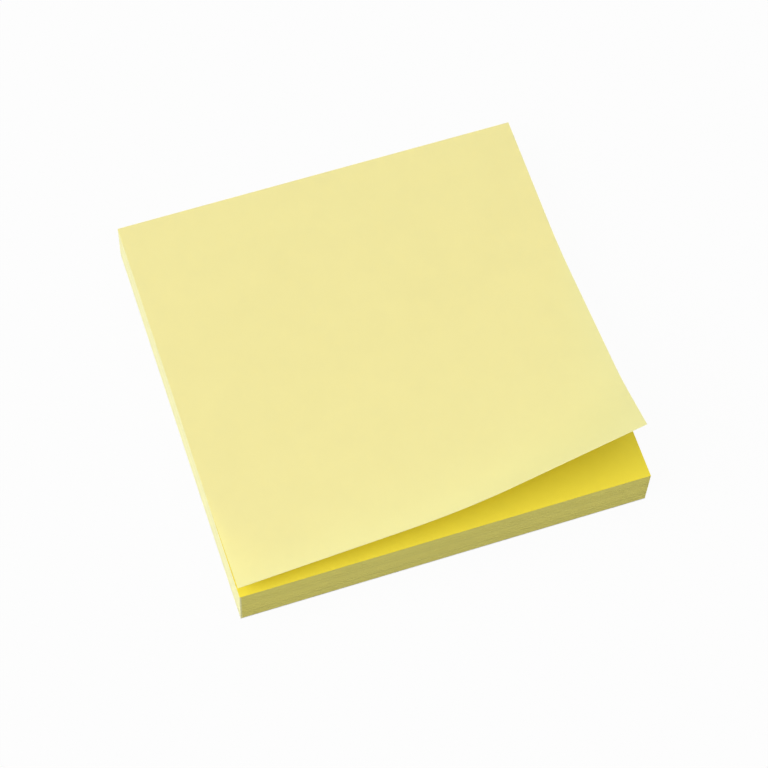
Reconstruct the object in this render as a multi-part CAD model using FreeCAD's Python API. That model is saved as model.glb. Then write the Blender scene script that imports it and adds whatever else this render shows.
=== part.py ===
"""A square pad of sticky notes, 76 mm a side, with its top note peeled up at the free edge.

The pad lies on its back with the origin at the middle of its underside. X runs along the
glued edge from left to right, Y runs towards the glued edge, and Z is up.
All sizes are in millimetres and all angles in degrees.

The pad has four pieces, from the bottom up:
  backing_sheet   the release-coated sheet that keeps the last note's glue off the desk
  note_block      the notes still pressed together, one solid with every leaf's cut edge
  adhesive_strip  the band of low-tack glue that holds the top note to the next one
  top_note        one note, still stuck at the glued edge and rolled up at the free one
"""

import FreeCAD, Part
import math
import os

# The paper
note_side = 76.0
note_thickness = 0.10
note_count = 100  # a full pad, the lifted note among them
backing_thickness = 0.20

# The band of glue under the top note, beside the glued edge
glue_thickness = 0.02
glue_width = 12.0
glue_margin = 1.5  # bare paper between the band and the glued edge

# The cut edges of the block: every leaf has a fine groove above and below it, and has slid
# a little way from its neighbours since the pad was cut
groove_depth = 0.05
groove_height = 0.04
leaf_slide = 0.03
slide_turn = 137.5  # the next leaf slides in a direction turned by this angle

# The lifted note: it rolls up about lines that run across it at a slant, because it was
# picked up by its right-hand front corner. These lengths lie along the paper, in the
# direction in which it rolls, and the last of them ends at that corner
roll_heading = 67.25  # the direction in which it rolls, turned from +X towards the front
first_bend_radius = 48.3  # where the note leaves the pad
first_bend_length = 12.0
middle_length = 20.0  # straight paper between the two bends
second_bend_radius = 20.2  # where the finger pulled
second_bend_length = 8.0
corner_length = 9.8  # straight paper from the second bend to the lifted corner

# How finely the shapes are drawn
points_round_a_bend = 9  # on each cut edge of the note, from one end of a bend to the other
nearest = 1e-6  # points closer than this are one

# Worked out from the sizes above
half_side = note_side / 2
block_leaves = note_count - 1
block_bottom = backing_thickness
block_top = block_bottom + block_leaves * note_thickness
note_bottom = block_top + glue_thickness
note_middle = note_bottom + note_thickness / 2

up = FreeCAD.Vector(0, 0, 1)
heading = math.radians(roll_heading)
roll_direction = FreeCAD.Vector(math.cos(heading), -math.sin(heading), 0)
fold_direction = FreeCAD.Vector(math.sin(heading), math.cos(heading), 0)


def slab(width, depth, thickness, front, bottom):
    """A flat slab, centred between left and right, from its front edge and its underside."""
    return Part.makeBox(width, depth, thickness, FreeCAD.Vector(-width / 2, front, bottom))


def backing_sheet():
    """The flat sheet under the last note."""
    return slab(note_side, note_side, backing_thickness, -half_side, 0)


def adhesive_strip():
    """The band of glue between the top note and the next one."""
    front = half_side - glue_margin - glue_width
    return slab(note_side, glue_width, glue_thickness, front, block_top)


def square(side, height, centre=FreeCAD.Vector(0, 0, 0)):
    """The outline of a level square at a height."""
    half = side / 2
    corners = [(-half, -half), (half, -half), (half, half), (-half, half), (-half, -half)]
    return Part.makePolygon([centre + FreeCAD.Vector(x, y, height) for x, y in corners])


def note_block():
    """The notes below the top one as a single solid, with every leaf's cut edge.

    A leaf's edge is an upright band between two grooves. The solid is ruled through level
    squares: the floor of a groove, the foot and the head of a leaf's band, and so on up.
    """
    groove_side = note_side - 2 * groove_depth
    outlines = []
    for leaf in range(block_leaves):
        foot = block_bottom + leaf * note_thickness
        way = math.radians(leaf * slide_turn)
        centre = FreeCAD.Vector(math.cos(way), math.sin(way), 0) * leaf_slide
        outlines.append(square(groove_side, foot))
        outlines.append(square(note_side, foot + groove_height / 2, centre))
        outlines.append(square(note_side, foot + note_thickness - groove_height / 2, centre))
    outlines.append(square(groove_side, block_top))
    return Part.makeLoft(outlines, True, True)


class RolledNote:
    """A flat square note rolled up, without stretching, about slanting straight lines.

    A place on the flat note is given by along, its distance in the direction in which the
    note rolls, and across, its distance along the lines that it rolls about. Both are
    counted from the note's centre. Rolling leaves across as it is.
    """

    def __init__(self):
        """Find how far along the corners are, and where each bend begins."""
        self.corners = [FreeCAD.Vector(x, y, 0).dot(roll_direction)
                        for x in (-half_side, half_side) for y in (-half_side, half_side)]
        self.first = min(self.corners)
        self.last = max(self.corners)
        second = self.last - corner_length - second_bend_length
        first = second - middle_length - first_bend_length
        self.bends = [(first, first_bend_length, first_bend_radius),
                      (second, second_bend_length, second_bend_radius)]

    def rolled(self, along):
        """Where along comes to lie: its level distance, its rise and the paper's slope."""
        level, rise, slope, reached = self.first, 0.0, 0.0, self.first
        for start, length, radius in self.bends:
            straight = max(0.0, min(along, start) - reached)
            turn = max(0.0, min(along - start, length)) / radius
            level += straight * math.cos(slope) + radius * (math.sin(slope + turn) - math.sin(slope))
            rise += straight * math.sin(slope) + radius * (math.cos(slope) - math.cos(slope + turn))
            slope += turn
            reached = start + length
        straight = max(0.0, along - reached)
        return level + straight * math.cos(slope), rise + straight * math.sin(slope), slope

    def point(self, along, across, above):
        """A point of the rolled note, at a distance above the middle of its thickness."""
        level, rise, slope = self.rolled(along)
        middle = roll_direction * level + fold_direction * across + up * (note_middle + rise)
        return middle + (up * math.cos(slope) - roll_direction * math.sin(slope)) * above

    def ends(self, along):
        """The two ends, on the note's cut edges, of the straight line across it."""
        low, high = -math.inf, math.inf
        for roll, fold in zip(roll_direction, fold_direction):
            if abs(fold) > nearest:
                edges = sorted((edge - along * roll) / fold for edge in (-half_side, half_side))
                low, high = max(low, edges[0]), min(high, edges[1])
        return low, high

    def cut_edge(self, start, end, side, above):
        """One cut edge of the note's top or underside, between two distances along it.

        It is a straight line on straight paper. In a bend it is a helix, drawn as a smooth
        curve through points of it.
        """
        middle = (start + end) / 2
        bent = any(0 < middle - bend < length for bend, length, radius in self.bends)
        count = points_round_a_bend if bent else 2
        alongs = [start + (end - start) * n / (count - 1) for n in range(count)]
        points = [self.point(along, self.ends(along)[side], above) for along in alongs]
        if not bent:
            return points
        curve = Part.BSplineCurve()
        curve.interpolate(points)
        return curve.toShape()

    def ruled(self, one, other):
        """The face between two cut edges, which is flat where they are straight."""
        if not isinstance(one, list):
            return Part.makeRuledSurface(one, other)
        loop = one + other[::-1]
        loop = [p for n, p in enumerate(loop) if p.distanceToPoint(loop[n - 1]) > nearest]
        return Part.Face(Part.makePolygon(loop + loop[:1]))

    def solid(self):
        """The whole note: a top, an underside and two cut edges for each stretch along it."""
        stops = set(self.corners)
        for start, length, radius in self.bends:
            stops |= {start, start + length}
        stops = sorted(stop for stop in stops if self.first <= stop <= self.last)
        faces = []
        for start, end in zip(stops, stops[1:]):
            if end - start < nearest:
                continue
            under = [self.cut_edge(start, end, side, -note_thickness / 2) for side in (0, 1)]
            over = [self.cut_edge(start, end, side, note_thickness / 2) for side in (0, 1)]
            faces += [self.ruled(*under), self.ruled(*over)]
            faces += [self.ruled(under[side], over[side]) for side in (0, 1)]
        shell = Part.makeShell(faces)
        shell.sewShape()
        return Part.makeSolid(shell).removeSplitter()


def top_note():
    """The note that is peeled up at the free edge."""
    return RolledNote().solid()


def main():
    """Write each piece to a file of its own, named after it."""
    os.makedirs("parts", exist_ok=True)
    for piece in (backing_sheet, note_block, adhesive_strip, top_note):
        solid = piece()
        solid.exportStep(f"parts/{piece.__name__}.step")
        box = solid.BoundBox
        print(f"{piece.__name__}: {solid.Volume:.2f} mm3, valid {solid.isValid()}, "
              f"z {box.ZMin:.2f} to {box.ZMax:.2f}")


main()
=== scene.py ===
"""The looks of a square pad of yellow sticky notes, its top note peeled up at one corner.

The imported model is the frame: every piece is made in it, in metres, with the underside's
centre as the origin, X along the glued edge, Y towards that edge and Z up. The block of
notes and the lifted note are surfaces worked out here, and the backing sheet and the band
of glue are the model's own, with a finish. The file is laid out as an add-on: the sizes and
colours that a user would change are properties, and each piece is made by an operator.
"""

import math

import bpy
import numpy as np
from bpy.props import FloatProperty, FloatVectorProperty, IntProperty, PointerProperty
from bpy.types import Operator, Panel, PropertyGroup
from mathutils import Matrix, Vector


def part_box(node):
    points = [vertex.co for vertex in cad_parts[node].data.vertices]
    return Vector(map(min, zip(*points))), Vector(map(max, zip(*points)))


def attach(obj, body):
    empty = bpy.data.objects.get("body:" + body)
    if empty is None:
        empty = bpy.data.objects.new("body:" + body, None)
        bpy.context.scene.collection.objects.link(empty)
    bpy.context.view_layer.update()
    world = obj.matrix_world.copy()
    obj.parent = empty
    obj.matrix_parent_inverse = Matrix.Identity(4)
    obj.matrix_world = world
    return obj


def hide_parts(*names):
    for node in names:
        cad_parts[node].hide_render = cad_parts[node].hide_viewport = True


bl_info = {
    "name": "Sticky Note Pad",
    "version": (1, 0, 0),
    "blender": (4, 5, 0),
    "location": "3D View > Sidebar > Note Pad",
    "description": "Paper, cut edges, light and camera for a pad of sticky notes",
    "category": "Add Mesh",
}

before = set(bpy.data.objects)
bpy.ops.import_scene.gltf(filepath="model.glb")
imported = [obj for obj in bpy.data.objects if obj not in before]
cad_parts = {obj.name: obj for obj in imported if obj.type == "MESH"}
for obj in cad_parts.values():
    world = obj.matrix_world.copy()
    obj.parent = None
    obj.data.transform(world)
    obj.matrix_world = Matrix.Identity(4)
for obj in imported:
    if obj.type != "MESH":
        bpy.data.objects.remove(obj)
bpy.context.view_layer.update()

half_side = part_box("backing_sheet")[1].x
block_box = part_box("note_block")
block_bottom, block_top = (corner.z for corner in block_box)
note_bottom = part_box("top_note")[0].z

MM = 0.001
WHITE = (1, 1, 1, 1)
SHARP_ANGLE = math.radians(30)  # faces that turn by more than this meet in a sharp edge


def length(name, description, millimetres):
    """A property that holds a length, given here in millimetres."""
    return FloatProperty(name=name, description=description, default=millimetres * MM,
                         unit="LENGTH", precision=5)


def angle(name, description, degrees):
    """A property that holds an angle, given here in degrees."""
    return FloatProperty(name=name, description=description, default=math.radians(degrees),
                         subtype="ANGLE")


def colour(name, description, red, green, blue):
    """A property that holds a colour in linear light."""
    return FloatVectorProperty(name=name, description=description, default=(red, green, blue),
                               subtype="COLOR", min=0, max=1)


def amount(name, description, value):
    """A property that holds a plain number."""
    return FloatProperty(name=name, description=description, default=value, subtype="FACTOR",
                         min=0, max=2)


class NotePadBlock(PropertyGroup):
    """The leaves of the block and how unevenly their cut edges lie."""

    leaf_thickness: length("Leaf thickness", "Thickness of one note", 0.1)
    groove_depth: length("Groove depth", "How far the gap between two leaves goes in", 0.05)
    groove_height: length("Groove height", "How far two leaves' edges stand apart", 0.036)
    slide: length("Slide", "How far a leaf has slid from its neighbours", 0.03)
    wave: length("Wave", "How far a cut edge waves in and out along its length", 0.007)
    columns: IntProperty(name="Columns", description="Faces along one side of the block",
                         default=48, min=4)
    seed: IntProperty(name="Seed", description="Starts the unevenness", default=7)


class NotePadRoll(PropertyGroup):
    """How the top note rolls up: lengths along the paper, the last ending at the corner."""

    heading: angle("Heading", "Direction in which the note rolls, from +X towards the front", 67.25)
    first_radius: length("First radius", "Radius of the bend where the note leaves the pad", 48.3)
    first_length: length("First length", "Paper in the first bend", 12.0)
    middle_length: length("Middle length", "Straight paper between the bends", 20.0)
    second_radius: length("Second radius", "Radius of the bend where the finger pulled", 20.2)
    second_length: length("Second length", "Paper in the second bend", 8.0)
    corner_length: length("Corner length", "Straight paper up to the lifted corner", 9.8)
    cells: IntProperty(name="Cells", description="Faces along one side of the note",
                       default=110, min=4)


class NotePadPaper(PropertyGroup):
    """The colours of the paper, and how much light comes through one note."""

    face: colour("Face", "The top note's upper face", 0.94, 0.92, 0.485)
    # Painted shade: the faces under the top note, and the lifted note's underside, get a darker, deeper
    # gold than the upper face. This paints the shade and the yellow bounced light between the notes.
    painted_shade_gold: colour("Painted shade face", "Faces that no light has faded, under the top note", 0.755, 0.635, 0.053)
    edge: colour("Cut edge", "The leaves' cut edges", 0.745, 0.685, 0.187)
    # Painted light: the left and the far side of the block take this paler tone for the left-hand lamp's
    # light, and the front and the right side keep the deeper cut-edge tone as painted shade.
    edge_painted_lit: colour("Painted light cut edge", "The same on the left and the far side", 0.815, 0.795, 0.475)
    glow: colour("Glow", "The light that comes through a note", 1.0, 0.965, 0.52)
    through: amount("Through", "Share of the upper face's look that is light from behind it", 0.42)
    through_under: amount("Through, under", "The same share of the underside's look", 0.9)
    clearance: length("Clearance", "How far the note stays off the glue, to let light between", 0.005)
    release: colour("Release paper", "The coated backing sheet", 0.82, 0.81, 0.75)
    # Painted shade: the glue's tint copies the darker gold painted on the faces under the top note.
    glue: colour("Glue", "The low-tack glue on paper", 0.755, 0.64, 0.06)


class NotePadStage(PropertyGroup):
    """The camera, the lamps, the floor and what lies beyond it."""

    azimuth: angle("Azimuth", "Where the camera stands round the pad, from the front", -21.6)
    elevation: angle("Elevation", "The camera's angle above the floor", 64.18)
    roll: angle("Roll", "The camera's turn about its own axis", 3.63)
    distance: length("Distance", "From the camera to the pad's middle", 522.7)
    aim_right: length("Aim right", "What the camera aims at, right of the middle in the picture", 1.08)
    aim_up: length("Aim up", "What the camera aims at, above the middle in the picture", -1.7)
    lens: FloatProperty(name="Lens", description="Focal length", default=133.7,
                        subtype="DISTANCE_CAMERA")
    sensor: FloatProperty(name="Sensor", description="Width of the camera's sensor", default=36.0,
                          subtype="DISTANCE_CAMERA")
    lamp_distance: length("Lamp distance", "From each lamp to the pad's middle", 2400)
    key: amount("Key", "Strength of the left-hand lamp on a face turned to it", 0.82)
    key_size: length("Key size", "Side of the left-hand lamp", 1800)
    key_azimuth: angle("Key azimuth", "Where the left-hand lamp stands, from the front", -84)
    key_elevation: angle("Key elevation", "The left-hand lamp's angle above the floor", 45)
    overhead: amount("Overhead", "Strength of the lamp above the pad on a level face", 0.585)
    overhead_size: length("Overhead size", "Side of the lamp above the pad", 3000)
    overhead_elevation: angle("Overhead elevation", "The upper lamp's angle above the floor", 88)
    ambient: amount("Ambient", "Strength of the light from all round", 0.35)
    floor: colour("Floor", "The floor's own colour", 0.45, 0.45, 0.45)
    floor_reach: length("Floor reach", "From the pad's middle to each side of the floor", 4000)
    floor_white: amount("Floor white", "Share of plain white in what the camera sees of the floor", 0.96)
    horizon: amount("Horizon", "Brightness of what the camera sees beyond the floor", 0.98)


class Socket:
    """A node's output in a tree, on which Python arithmetic adds Math nodes."""

    def __init__(self, tree, output=None):
        self.tree = tree
        self.output = output

    def node(self, kind, settings=None, inputs=None, output=0):
        """Adds a node of any kind: its settings first, then its sockets' values or links."""
        node = self.tree.nodes.new(kind)
        for name, value in (settings or {}).items():
            setattr(node, name, value)
        for name, value in (inputs or {}).items():
            if isinstance(value, Socket):
                self.tree.links.new(value.output, node.inputs[name])
            else:
                node.inputs[name].default_value = value
        return Socket(self.tree, node.outputs[output] if node.outputs else None)

    def math(self, operation, *values):
        """Adds a Math node to this tree."""
        return self.node("ShaderNodeMath", {"operation": operation}, dict(enumerate(values)))

    def __add__(self, other):
        return self.math("ADD", self, other)

    def __sub__(self, other):
        return self.math("SUBTRACT", self, other)

    def __rsub__(self, other):
        return self.math("SUBTRACT", other, self)

    def __mul__(self, other):
        return self.math("MULTIPLY", self, other)

    __radd__ = __add__
    __rmul__ = __mul__

    def blend(self, one, other):
        """The colour between one, where this is 0, and other, where this is 1."""
        return self.node("ShaderNodeMix", {"data_type": "RGBA"}, {0: self, 6: one, 7: other}, 2)

    def between(self, low, high):
        """0 below low, 1 above high, and even between them."""
        return self.node("ShaderNodeMapRange", None, {"Value": self, "From Min": low, "From Max": high})


def shade(red_green_blue, brightness=1.0):
    """A colour with its opacity, for a socket, made lighter or darker."""
    return (*(min(1.0, part * brightness) for part in red_green_blue), 1.0)


def varied(tint, share, low, high):
    """A tint whose brightness runs from low to high times its own as share goes from 0 to 1."""
    return share.blend(shade(tint, low), shade(tint, high))


def new_material(name):
    """An empty material, and the start of its node tree."""
    material = bpy.data.materials.new(name)
    material.use_nodes = True
    material.node_tree.nodes.clear()
    return material, Socket(material.node_tree)


def output(surface):
    """Ends a tree with a shader."""
    surface.node("ShaderNodeOutputMaterial", None, {"Surface": surface})


def stretched(start, per_metre, turn=0.0):
    """Object coordinates turned about Z, then in units of 1 / per_metre along each axis."""
    place = start.node("ShaderNodeTexCoord", output="Object")
    units = [1 / count for count in per_metre]
    settings = {"Vector": place, "Rotation": (0.0, 0.0, turn), "Scale": units}
    return start.node("ShaderNodeMapping", {"vector_type": "TEXTURE"}, settings)


def noise(place, detail=2.0):
    """Smooth noise around 0.5 that changes over about 1 unit of place."""
    return place.node("ShaderNodeTexNoise", None, {"Vector": place, "Scale": 1.0, "Detail": detail})


def tooth(start):
    """The fine roughness of cut or uncoated paper, in bumps of about 0.1 mm."""
    return noise(stretched(start, (9000, 9000, 9000)), 3.0)


def fibres(start):
    """The relief of uncoated paper: fibres about 1 mm long that lie three ways, over a tooth."""
    relief = 0.4 * tooth(start)
    for turn in (0.35, 1.4, 2.5):
        relief = relief + 0.35 * noise(stretched(start, (900, 5200, 2600), turn))
    return relief


def formation(start):
    """The cloudiness of paper, from 0 to 1, in clouds of about 2 and 6 mm."""
    clouds = 0.6 * noise(stretched(start, (170, 170, 170)))
    flocks = 0.4 * noise(stretched(start, (620, 500, 560)), 3.0)
    return (clouds + flocks).between(0.3, 0.7)


def bumped(relief, depth, strength=1.0):
    """The normal of a surface whose relief of 1 is depth high."""
    return relief.node("ShaderNodeBump", None,
                       {"Height": relief, "Distance": depth, "Strength": strength})


def principled(start, **inputs):
    """A matt Principled shader, with its sockets' names written with underscores."""
    named = {name.replace("_", " "): value for name, value in inputs.items()}
    named.setdefault("Roughness", 0.9)
    named.setdefault("Specular IOR Level", 0.2)
    return start.node("ShaderNodeBsdfPrincipled", None, named)


def paper_surface(start, tint):
    """The shader of uncoated paper: faintly cloudy, with a relief of about 0.01 mm."""
    base = varied(tint, formation(start), 0.985, 1.012)
    return principled(start, Base_Color=base, Normal=bumped(fibres(start), 0.03 * MM))


def sheet_material(name, tint, glow, through):
    """One note's thickness of paper, which shows light from in front of it and from behind."""
    material, start = new_material(name)
    front = paper_surface(start, tint)
    behind = start.node("ShaderNodeBsdfTranslucent", None, {"Color": shade(glow)})
    output(start.node("ShaderNodeMixShader", None, {0: through, 1: front, 2: behind}))
    return material


def solid_paper_material(name, tint):
    """Paper that no light comes through: a stack of notes, or one note seen edge on."""
    material, start = new_material(name)
    output(paper_surface(start, tint))
    return material


def cut_edge_material(name, tint, lit_side_tint, leaf_thickness):
    """The sides of the block: one tone for each leaf, streaks along them, marks of the knife.

    A leaf's tone is a random number of its index, which is its height over the leaves'
    thickness, rounded down. So is that of its bundle, whose index is a quarter of the leaf's
    plus the leaf's tone, rounded down, and 300 more, so that it isn't a leaf's index too. The
    streaks are noise drawn out along the leaves, and the marks are noise drawn out across
    them. The left and the far side are painted a paler tone and the front and the right side
    a deeper one: painted light from the left-hand lamp, and painted shade on the front.
    """
    material, start = new_material(name)
    place = start.node("ShaderNodeTexCoord", output="Object")
    right, back, height = (start.node("ShaderNodeSeparateXYZ", None, {"Vector": place}, axis)
                           for axis in "XYZ")
    leaf = start.math("FLOOR", (height - block_bottom) * (1 / leaf_thickness))
    leaf_tone = start.node("ShaderNodeTexWhiteNoise", {"noise_dimensions": "1D"}, {"W": leaf})
    bundle = start.math("FLOOR", 0.25 * leaf + leaf_tone) + 300
    bundle_tone = start.node("ShaderNodeTexWhiteNoise", {"noise_dimensions": "1D"}, {"W": bundle})
    streaks = noise(stretched(start, (60, 60, 10000))).between(0.25, 0.75)
    marks = noise(stretched(start, (2600, 2600, 90)))
    tone = 0.35 * leaf_tone + 0.35 * bundle_tone + 0.15 * streaks + 0.15 * marks
    outward = start.math("MAXIMUM", 0 - right, back)
    # Painted light and shade: 1 on the left and the far side, which take the paler tone, and 0 on the
    # front and the right side, which take the deeper one.
    painted_lit_sides = outward.between(half_side - 0.4 * MM, half_side - 0.1 * MM)
    base = painted_lit_sides.blend(varied(tint, tone, 0.9, 1.06), varied(lit_side_tint, tone, 0.9, 1.06))
    relief = 0.6 * marks + 0.4 * tooth(start)
    output(principled(start, Base_Color=base, Normal=bumped(relief, 0.01 * MM, 0.6)))
    return material


def release_material(name, tint):
    """Release-coated paper: smooth, a little glossy, faintly cloudy."""
    material, start = new_material(name)
    clouds = formation(start)
    base = varied(tint, clouds, 0.975, 1.02)
    relief = noise(stretched(start, (2200, 2200, 2200)), 3.0)
    output(principled(start, Base_Color=base, Roughness=0.34 + 0.1 * clouds, Specular_IOR_Level=0.5,
                      Normal=bumped(relief, 0.006 * MM, 0.4)))
    return material


def glue_material(name, tint):
    """Low-tack glue: a bed of tiny clear beads that dulls the paper under it."""
    material, start = new_material(name)
    place = stretched(start, (16000, 16000, 16000))
    beads = start.node("ShaderNodeTexVoronoi", None, {"Vector": place, "Scale": 1.0}, "Distance")
    base = varied(tint, beads, 1.05, 0.93)
    output(principled(start, Base_Color=base, Roughness=0.45, Specular_IOR_Level=0.5,
                      Normal=bumped(1 - beads, 0.008 * MM, 0.6)))
    return material


def new_piece(name, points, faces, materials, face_material, smooth=False):
    """A mesh object at the origin, from arrays of points, of four-cornered faces and of the
    number of each face's material.

    Where smooth faces turn sharply, as between a sheet's face and its cut edge, the edge is
    marked sharp, because their normals would lean over there and draw a dark line.
    """
    mesh = bpy.data.meshes.new(name)
    mesh.vertices.add(len(points))
    mesh.vertices.foreach_set("co", points.astype(np.float32).ravel())
    mesh.loops.add(faces.size)
    mesh.loops.foreach_set("vertex_index", faces.astype(np.int32).ravel())
    mesh.polygons.add(len(faces))
    mesh.polygons.foreach_set("loop_start", np.arange(0, faces.size, 4, dtype=np.int32))
    mesh.polygons.foreach_set("material_index", face_material.astype(np.int32))
    mesh.polygons.foreach_set("use_smooth", np.full(len(faces), smooth))
    for material in materials:
        mesh.materials.append(material)
    mesh.update(calc_edges=True)
    mesh.validate()
    mesh.set_sharp_from_angle(angle=SHARP_ANGLE)
    piece = bpy.data.objects.new(name, mesh)
    bpy.context.scene.collection.objects.link(piece)
    return piece


def grid_faces(indices):
    """The faces of a grid of point indices, one for each cell, turning from rows to columns."""
    corners = (indices[:-1, :-1], indices[:-1, 1:], indices[1:, 1:], indices[1:, :-1])
    return np.stack(corners, -1).reshape(-1, 4)


def border(indices):
    """The point indices round a grid, counter-clockwise when columns run along X and rows
    along Y, without the first one again at the end."""
    return np.concatenate([indices[0, :-1], indices[:-1, -1], indices[-1, :0:-1], indices[:0:-1, 0]])


def block_surface(block, random):
    """The block's points and faces, and which faces are sides.

    A side is a function of the place round the outline and of the height. The outline is a
    square whose points have the shares sx and sy of half a side. At each height it grows by
    waves, a sum of three sines with random sizes and starts for each leaf and each side, and
    shrinks by the groove's depth where two leaves meet. The grooves' heights and depths vary
    from leaf to leaf, and each leaf is slid as a whole. A leaf has three rows: the groove's
    floor under it, its lower rim and its upper rim. The top and the bottom are level grids
    whose borders are the outline's last and first rows.
    """
    count = block.columns
    leaves = round((block_top - block_bottom) / block.leaf_thickness)
    run = np.linspace(-1, 1, count + 1)[:-1]
    one = np.ones(count)
    sx = np.concatenate([run, one, -run, -one])
    sy = np.concatenate([-one, run, one, -run])

    leaf = np.repeat(np.arange(leaves), 3)
    part = np.tile([0, 1, 2], leaves)
    gap = block.groove_height / 2 * random.uniform(0.6, 1.4, leaves)[leaf]
    height = block_bottom + (leaf + (part == 2)) * block.leaf_thickness
    height = height + np.where(part == 1, gap, np.where(part == 2, -gap, 0))
    deep = np.where(part == 0, block.groove_depth * random.uniform(0.6, 1.5, leaves)[leaf], 0)

    def waves(share, across):
        """How far each row waves outward along one pair of sides.

        share is each point's place along its side, and across tells the two sides apart by
        its sign. The slower of the sines are the larger ones.
        """
        waves_a_side = np.array([1.3, 3.1, 7.7])[None, :, None]
        smaller_by = np.array([1, 1.6, 2.4])[None, :, None]
        start = random.uniform(0, 2 * math.pi, (leaves, 3, 2))[leaf]
        size = random.normal(0, 1, (leaves, 3, 2))[leaf] * block.wave / smaller_by
        side = (across > 0).astype(int)
        turns = waves_a_side * math.pi * share
        return (size[:, :, side] * np.sin(turns + start[:, :, side])).sum(1)

    slide = random.normal(0, 0.5, (leaves, 2)).clip(-1, 1)[leaf] * block.slide
    slide = np.where(part[:, None] == 0, 0, slide)
    grown_x = np.where(np.abs(sx) == 1, np.sign(sx) * (waves(sy, sx) - deep[:, None]), 0)
    grown_y = np.where(np.abs(sy) == 1, np.sign(sy) * (waves(sx, sy) - deep[:, None]), 0)
    x = (sx * half_side + grown_x + slide[:, :1]).clip(block_box[0].x, block_box[1].x)
    y = (sy * half_side + grown_y + slide[:, 1:]).clip(block_box[0].y, block_box[1].y)
    z = np.broadcast_to(height[:, None], x.shape)
    ring = np.stack([x, y, z], -1)
    lid = ring[-1] * np.array([1, 1, 0]) + np.array([0, 0, block_top])
    ring = np.concatenate([ring, lid[None]])

    points = [ring.reshape(-1, 3)]
    around = np.arange(ring.shape[0] * ring.shape[1]).reshape(ring.shape[:2])
    closed = np.concatenate([around, around[:, :1]], 1)
    faces = [grid_faces(closed)]
    for row, level, outward in ((around[0], block_bottom, -1), (around[-1], block_top, 1)):
        cap = np.zeros((count + 1, count + 1), int)
        inner = np.arange((count - 1) ** 2).reshape(count - 1, count - 1)
        cap[1:-1, 1:-1] = inner + sum(len(p) for p in points)
        cap[0, :-1], cap[:-1, -1] = row[:count], row[count:2 * count]
        cap[-1, :0:-1], cap[:0:-1, 0] = row[2 * count:3 * count], row[3 * count:]
        across, along = np.meshgrid(run[1:], run[1:])
        level_grid = np.full_like(across, level)
        points.append(np.stack([across * half_side, along * half_side, level_grid], -1).reshape(-1, 3))
        faces.append(grid_faces(cap)[:, ::outward])
    is_side = np.concatenate([np.full(len(group), n == 0) for n, group in enumerate(faces)])
    return np.concatenate(points), np.concatenate(faces), is_side


class NOTEPAD_OT_block(Operator):
    """Make the block of notes that are still stuck together"""

    bl_idname = "notepad.block"
    bl_label = "Note block"

    def execute(self, context):
        block, paper = context.scene.note_pad_block, context.scene.note_pad_paper
        points, faces, is_side = block_surface(block, np.random.default_rng(block.seed))
        # The block's top takes the painted-shade gold, not the upper face's colour.
        materials = [solid_paper_material("painted_shade_paper", paper.painted_shade_gold),
                     cut_edge_material("cut_paper_edges", paper.edge, paper.edge_painted_lit,
                                       block.leaf_thickness)]
        piece = new_piece("note_stack", points, faces, materials, is_side)
        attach(piece, "root")
        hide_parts("note_block")
        return {"FINISHED"}


def rolled(roll, first, last, along):
    """Where distances along the note come to lie: level distance, rise and slope.

    On straight paper the level distance and the rise grow by the cosine and the sine of the
    slope. In a bend the slope grows by the length over the radius, the level distance by the
    radius times the change of its sine, and the rise by the radius times that of its cosine.
    """
    second = last - roll.corner_length - roll.second_length
    bends = ((second - roll.middle_length - roll.first_length, roll.first_length, roll.first_radius),
             (second, roll.second_length, roll.second_radius))
    level, rise, slope = np.full_like(along, first), np.zeros_like(along), np.zeros_like(along)
    reached, settled = first, 0.0
    for start, reach, radius in (*bends, (last, 0.0, 1.0)):
        straight = np.clip(along, None, start).clip(reached) - reached
        turn = (along - start).clip(0, reach) / radius
        level += straight * math.cos(settled) + radius * (np.sin(settled + turn) - math.sin(settled))
        rise += straight * math.sin(settled) + radius * (math.cos(settled) - np.cos(settled + turn))
        slope += turn
        settled += reach / radius
        reached = start + reach
    return level, rise, slope


def lifted_surface(roll, thickness, clearance):
    """The lifted note's points and faces, and each face's kind: 0 for the underside, 1 for the
    upper face and 2 for a cut edge.

    A point of the flat note at x, y lies at along = x cos(heading) - y sin(heading) in the
    direction in which the note rolls, and at across = x sin(heading) + y cos(heading) on the
    line about which it rolls. Rolling keeps across and takes along to a level distance and a
    rise. The upper face stands half the paper's thickness above that, square to the slope,
    and the underside half of it below, less the clearance that keeps it off the glue.
    """
    share = np.linspace(-half_side, half_side, roll.cells + 1)
    x, y = np.meshgrid(share, share)
    cosine, sine = math.cos(roll.heading), math.sin(roll.heading)
    along, across = x * cosine - y * sine, x * sine + y * cosine
    level, rise, slope = rolled(roll, along.min(), along.max(), along)
    points = []
    for above in (clearance - thickness / 2, thickness / 2):
        out = level - above * np.sin(slope)
        z = note_bottom + thickness / 2 + rise + above * np.cos(slope)
        points.append(np.stack([out * cosine + across * sine, across * cosine - out * sine, z], -1))
    under = np.arange(x.size).reshape(x.shape)
    over = under + x.size
    around = np.stack([np.append(border(g), border(g)[0]) for g in (under, over)])
    groups = [grid_faces(under)[:, ::-1], grid_faces(over), grid_faces(around)]
    kinds = np.concatenate([np.full(len(group), kind) for kind, group in enumerate(groups)])
    return np.concatenate(points).reshape(-1, 3), np.concatenate(groups), kinds


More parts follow.
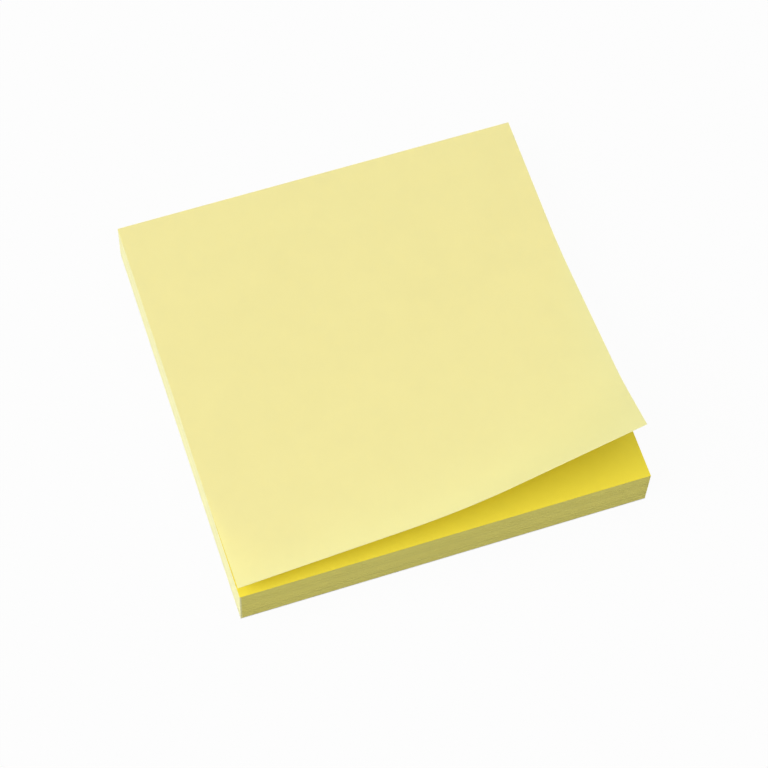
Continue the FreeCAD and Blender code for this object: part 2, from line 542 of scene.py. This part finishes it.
class NOTEPAD_OT_lifted_note(Operator):
    """Make the top note, rolled up at the free edge"""

    bl_idname = "notepad.lifted_note"
    bl_label = "Lifted note"

    def execute(self, context):
        scene = context.scene
        paper = scene.note_pad_paper
        points, faces, kinds = lifted_surface(scene.note_pad_roll, scene.note_pad_block.leaf_thickness,
                                               paper.clearance)
        # The lifted note's underside takes the painted-shade gold, and its upper face the paper's own
        # colour.
        materials = [sheet_material("painted_shade_sheet", paper.painted_shade_gold, paper.glow, paper.through_under),
                     sheet_material("upper_face_sheet", paper.face, paper.glow, paper.through),
                     solid_paper_material("sheet_edge", paper.face)]
        piece = new_piece("lifted_note", points, faces, materials, kinds, smooth=True)
        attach(piece, "root")
        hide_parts("top_note")
        return {"FINISHED"}


class NOTEPAD_OT_backing(Operator):
    """Finish the backing sheet and the band of glue"""

    bl_idname = "notepad.backing"
    bl_label = "Backing and glue"

    def execute(self, context):
        paper = context.scene.note_pad_paper
        finishes = {"backing_sheet": release_material("release_paper", paper.release),
                    "adhesive_strip": glue_material("low_tack_glue", paper.glue)}
        for node, material in finishes.items():
            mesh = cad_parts[node].data
            mesh.materials.clear()
            mesh.materials.append(material)
        return {"FINISHED"}


def picture_axes(azimuth, elevation, roll):
    """The picture's right, its up, and the way back to the camera, as vectors of the frame."""
    outward = Vector((math.sin(azimuth), -math.cos(azimuth), 0))
    back = outward * math.cos(elevation) + Vector((0, 0, math.sin(elevation)))
    level = Vector((math.cos(azimuth), math.sin(azimuth), 0))
    steep = back.cross(level)
    right = level * math.cos(roll) + steep * math.sin(roll)
    return right, back.cross(right), back


def add_camera(stage):
    """The camera of the reference view."""
    right, up, back = picture_axes(stage.azimuth, stage.elevation, stage.roll)
    data = bpy.data.cameras.new("camera")
    data.lens, data.sensor_width = stage.lens, stage.sensor
    camera = bpy.data.objects.new("camera", data)
    place = right * stage.aim_right + up * stage.aim_up + back * stage.distance
    turn = Matrix((right, up, back)).transposed().to_4x4()
    camera.matrix_world = Matrix.Translation(place) @ turn
    bpy.context.scene.collection.objects.link(camera)
    bpy.context.scene.camera = camera


def add_lamp(name, azimuth, elevation, distance, size, strength):
    """A square lamp that faces the pad.

    A lamp of power P at a distance d lights a face turned to it by P / (pi d)^2, where 1
    makes a matt face render as its colour is written.
    """
    back = picture_axes(azimuth, elevation, 0)[2]
    data = bpy.data.lights.new(name, "AREA")
    data.size, data.energy = size, strength * (math.pi * distance) ** 2
    lamp = bpy.data.objects.new(name, data)
    turn = back.to_track_quat("Z", "Y").to_matrix().to_4x4()
    lamp.matrix_world = Matrix.Translation(back * distance) @ turn
    bpy.context.scene.collection.objects.link(lamp)


def seen_directly(start):
    """1 for rays from the camera, from glossy surfaces and through clear ones, else 0.

    Light that has come through paper counts as transmitted and as diffuse, and gives 0.
    """
    camera, glossy, clear, diffuse = (start.node("ShaderNodeLightPath", output=f"Is {kind} Ray")
                                      for kind in ("Camera", "Glossy", "Transmission", "Diffuse"))
    return start.math("MAXIMUM", start.math("MAXIMUM", camera, glossy), clear) * (1 - diffuse)


def add_floor(stage):
    """A pale floor, which the camera sees as nearly white, with the pad's soft shadow."""
    material, start = new_material("floor")
    own = start.node("ShaderNodeBsdfDiffuse", None, {"Color": shade(stage.floor)})
    white = start.node("ShaderNodeEmission", None, {"Color": WHITE, "Strength": 1.0})
    share = seen_directly(start) * stage.floor_white
    output(start.node("ShaderNodeMixShader", None, {0: share, 1: own, 2: white}))
    corners = stage.floor_reach * np.array([(-1, -1, 0), (1, -1, 0), (1, 1, 0), (-1, 1, 0)])
    floor = new_piece("floor", corners, np.array([[0, 1, 2, 3]]), [material], np.zeros(1))


def add_world(stage):
    """Even light from all round, with a white background for the camera."""
    world = bpy.data.worlds.new("studio")
    world.use_nodes = True
    world.node_tree.nodes.clear()
    start = Socket(world.node_tree)
    light = start.node("ShaderNodeBackground", None, {"Color": WHITE, "Strength": stage.ambient})
    white = start.node("ShaderNodeBackground", None, {"Color": WHITE, "Strength": stage.horizon})
    surface = start.node("ShaderNodeMixShader", None, {0: seen_directly(start), 1: light, 2: white})
    start.node("ShaderNodeOutputWorld", None, {"Surface": surface})
    bpy.context.scene.world = world


class NOTEPAD_OT_stage(Operator):
    """Make the floor, the world, the lamps and the camera"""

    bl_idname = "notepad.stage"
    bl_label = "Stage"

    def execute(self, context):
        stage = context.scene.note_pad_stage
        add_floor(stage)
        add_world(stage)
        add_lamp("key_lamp", stage.key_azimuth, stage.key_elevation, stage.lamp_distance,
                 stage.key_size, stage.key)
        add_lamp("overhead_lamp", 0, stage.overhead_elevation, stage.lamp_distance,
                 stage.overhead_size, stage.overhead)
        add_camera(stage)
        context.scene.view_settings.view_transform = "Standard"
        return {"FINISHED"}


class NOTEPAD_PT_pad(Panel):
    """The pad's operators and properties in the sidebar"""

    bl_label = "Sticky note pad"
    bl_space_type = "VIEW_3D"
    bl_region_type = "UI"
    bl_category = "Note Pad"

    def draw(self, context):
        for group in GROUPS:
            box = self.layout.box()
            settings = getattr(context.scene, group)
            for name in settings.__annotations__:
                box.prop(settings, name)
        for operator in OPERATORS:
            self.layout.operator(operator.bl_idname)


GROUPS = {"note_pad_block": NotePadBlock, "note_pad_roll": NotePadRoll,
          "note_pad_paper": NotePadPaper, "note_pad_stage": NotePadStage}
OPERATORS = (NOTEPAD_OT_block, NOTEPAD_OT_lifted_note, NOTEPAD_OT_backing, NOTEPAD_OT_stage)
CLASSES = (*GROUPS.values(), *OPERATORS, NOTEPAD_PT_pad)


def register():
    """Adds the classes, and a group of each kind of property to every scene."""
    for kind in CLASSES:
        bpy.utils.register_class(kind)
    for name, kind in GROUPS.items():
        setattr(bpy.types.Scene, name, PointerProperty(type=kind))


def unregister():
    """Takes away what register added."""
    for name in GROUPS:
        delattr(bpy.types.Scene, name)
    for kind in reversed(CLASSES):
        bpy.utils.unregister_class(kind)


def main():
    """Makes every piece and the stage."""
    register()
    bpy.ops.notepad.block()
    bpy.ops.notepad.lifted_note()
    bpy.ops.notepad.backing()
    bpy.ops.notepad.stage()


if __name__ == "__main__":
    main()
